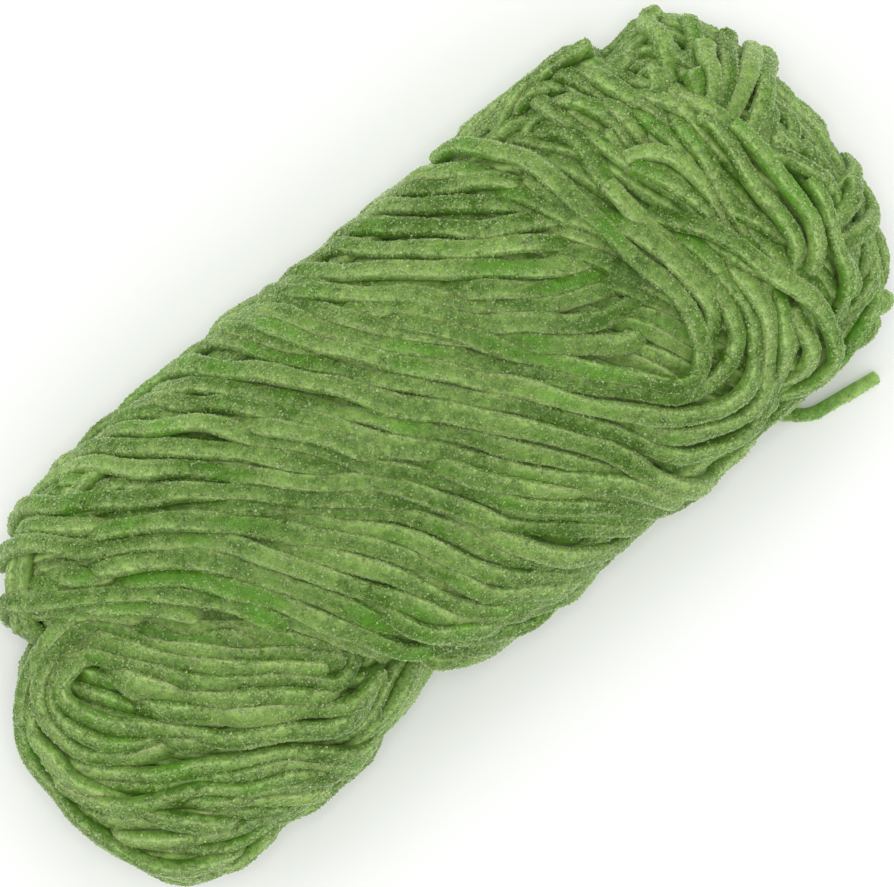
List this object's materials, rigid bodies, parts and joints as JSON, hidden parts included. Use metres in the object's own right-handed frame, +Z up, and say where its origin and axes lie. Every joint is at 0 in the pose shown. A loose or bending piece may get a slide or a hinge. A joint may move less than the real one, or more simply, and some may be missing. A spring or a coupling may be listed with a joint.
{
  "type": "sour candy lace bundle",
  "caption": "Hank of thin green sugar-coated candy laces, folded back on itself and twisted, with cut ends fanning out at one end.",
  "frame": {"origin": "middle of the bounding box in plan, on the flat underside that rests on the table", "axes": "+X along the bundle from the folded end to the cut ends, +Z up out of the side that the picture shows"},
  "size_m": [0.2034, 0.0944, 0.0541],
  "materials": {
    "sour_lace": "translucent green gum candy under a coat of fine pale sugar crystals"
  },
  "bodies": {
    "root": {"lace_bundle": "sour_lace"}
  },
  "joints": []
}
